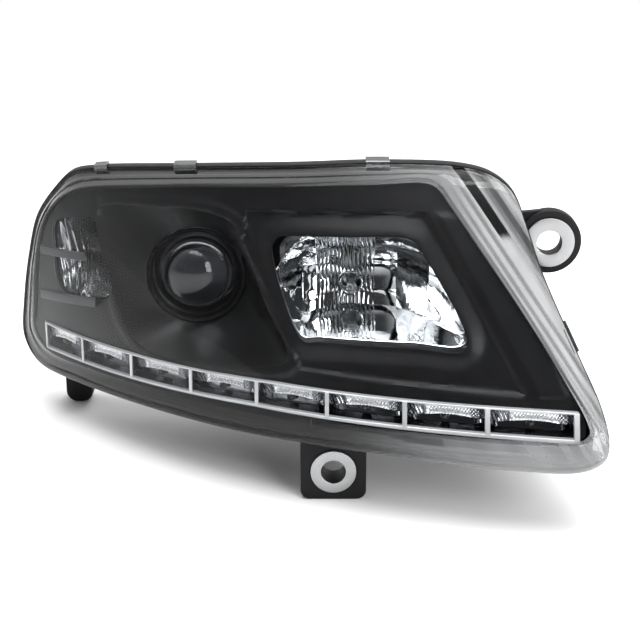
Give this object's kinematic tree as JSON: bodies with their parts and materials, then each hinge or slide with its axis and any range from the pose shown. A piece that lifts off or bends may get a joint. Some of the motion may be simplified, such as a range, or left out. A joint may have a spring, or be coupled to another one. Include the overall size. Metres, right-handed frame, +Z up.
{
  "type": "car headlight assembly",
  "caption": "Wrap-around car headlamp with clear cover, projector, reflector high beam, indicator, daytime light strip and aimable optics on a rear-access housing.",
  "frame": {"origin": "centre of the bounding box, at the height of the surface the lamp stands on", "axes": "+X to the inner end beside the grille, -Y out of the lens to the front of the vehicle, +Z up"},
  "size_m": [0.598, 0.3881, 0.3138],
  "materials": {
    "black_plastic": "moulded, fine grain",
    "sealant": "matt",
    "clear_lens": "clear gloss polycarbonate",
    "bezel_black": "satin black",
    "dark_chrome": "tinted mirror",
    "projector_glass": "clear ground glass",
    "steel": "satin",
    "black_steel": "black coated",
    "cast_alloy": "as cast",
    "reflector_chrome": "vacuum metallised mirror",
    "bulb_glass": "clear quartz",
    "grey_plastic": "moulded",
    "amber_glass": "tinted",
    "board": "printed board",
    "pale_plastic": "natural nylon",
    "cover_black": "moulded",
    "rubber": "matt",
    "zinc": "zinc plated",
    "spring_steel": "bright",
    "emitter": "clear dome over phosphor"
  },
  "bodies": {
    "housing": {"housing": "black_plastic", "low_beam_collar": "black_plastic", "high_beam_collar": "black_plastic", "lens_seal": "sealant", "outer_lens": "clear_lens", "bezel": "bezel_black", "marker_blade_upper": "dark_chrome", "marker_blade_lower": "dark_chrome", "projector_trim_ring": "bezel_black", "indicator_reflector": "reflector_chrome", "indicator_lens": "clear_lens", "strip_frame": "reflector_chrome", "strip_cells": "dark_chrome", "strip_board": "board", "strip_driver": "cast_alloy", "swing_pin_upper": "steel", "swing_pin_lower": "steel", "levelling_motor": "grey_plastic", "main_connector": "grey_plastic", "vent_cap_outer": "rubber", "vent_cap_inner": "rubber", "upper_bush": "zinc", "lower_bush": "zinc", "lens_clip_outer": "spring_steel", "lens_clip_middle": "spring_steel", "lens_clip_inner": "spring_steel", "lens_clip_side": "spring_steel", "strip_emitter_1": "emitter", "strip_emitter_2": "emitter", "strip_emitter_3": "emitter", "strip_emitter_4": "emitter", "strip_emitter_5": "emitter", "strip_emitter_6": "emitter", "strip_emitter_7": "emitter", "strip_emitter_8": "emitter"},
    "aim_frame": {"aim_frame": "grey_plastic", "tilt_pin_outer": "steel", "tilt_pin_inner": "steel"},
    "optics": {"optics_carrier": "grey_plastic", "projector_lens": "projector_glass", "projector_lens_ring": "black_steel", "projector_holder": "cast_alloy", "projector_bowl": "reflector_chrome", "cutoff_shield": "steel", "low_beam_bulb": "bulb_glass", "high_beam_reflector": "reflector_chrome", "high_beam_bulb": "bulb_glass", "parking_bulb": "bulb_glass", "parking_holder": "grey_plastic"},
    "low_bail": {"low_beam_bail": "steel"},
    "high_bail": {"high_beam_bail": "steel"},
    "low_cover_seal": {"low_beam_cover_seal": "rubber"},
    "low_cover": {"low_beam_cover": "cover_black"},
    "high_cover_seal": {"high_beam_cover_seal": "rubber"},
    "high_cover": {"high_beam_cover": "cover_black"},
    "indicator_socket": {"indicator_holder": "grey_plastic", "indicator_bulb": "amber_glass"},
    "vertical_screw": {"vertical_adjuster": "pale_plastic"},
    "horizontal_screw": {"horizontal_adjuster": "pale_plastic"},
    "leveller": {"levelling_plunger": "pale_plastic"}
  },
  "joints": [
    {"name": "beam_swing", "type": "hinge", "parent": "housing", "child": "aim_frame", "pos_m": [0.015, 0.0605, 0.19], "axis": [0, 0, 1], "range_deg": [-2, 2]},
    {"name": "beam_tilt", "type": "hinge", "parent": "aim_frame", "child": "optics", "pos_m": [0.015, 0.0605, 0.19], "axis": [1, 0, 0], "range_deg": [-2.5, 2.5]},
    {"name": "low_bail_hinge", "type": "hinge", "parent": "optics", "child": "low_bail", "pos_m": [-0.108, 0.1306, 0.19], "axis": [0, 0, 1], "range_deg": [0, 70]},
    {"name": "high_bail_hinge", "type": "hinge", "parent": "optics", "child": "high_bail", "pos_m": [0.049, 0.0686, 0.179], "axis": [0, 0, 1], "range_deg": [0, 70]},
    {"name": "low_cover_pull", "type": "slide", "parent": "housing", "child": "low_cover_seal", "axis": [0, 1, 0], "range_m": [0, 0.08]},
    {"name": "low_cover_twist", "type": "hinge", "parent": "low_cover_seal", "child": "low_cover", "pos_m": [-0.091, 0.18, 0.19], "axis": [0, 1, 0], "range_deg": [0, 45]},
    {"name": "high_cover_pull", "type": "slide", "parent": "housing", "child": "high_cover_seal", "axis": [0, 1, 0], "range_m": [0, 0.08]},
    {"name": "high_cover_twist", "type": "hinge", "parent": "high_cover_seal", "child": "high_cover", "pos_m": [0.066, 0.18, 0.179], "axis": [0, 1, 0], "range_deg": [0, 45]},
    {"name": "indicator_socket_pull", "type": "slide", "parent": "housing", "child": "indicator_socket", "axis": [0, 1, 0], "range_m": [0, 0.075]},
    {"name": "vertical_adjuster_turn", "type": "hinge", "parent": "housing", "child": "vertical_screw", "pos_m": [-0.02, 0.12, 0.233], "axis": [0, 1, 0], "range_deg": [-690, 690]},
    {"name": "horizontal_adjuster_turn", "type": "hinge", "parent": "housing", "child": "horizontal_screw", "pos_m": [0.1725, 0.12, 0.225], "axis": [0, 1, 0], "range_deg": [-2000, 2000]},
    {"name": "leveller_slide", "type": "slide", "parent": "housing", "child": "leveller", "axis": [0, 1, 0], "range_m": [-0.0031, 0.0031]}
  ],
  "couplings": [
    {"joint": "vertical_adjuster_turn", "follows": "beam_tilt", "ratio": 270},
    {"joint": "horizontal_adjuster_turn", "follows": "beam_swing", "ratio": 990},
    {"joint": "leveller_slide", "follows": "beam_tilt", "m_per_rad": 0.066}
  ]
}
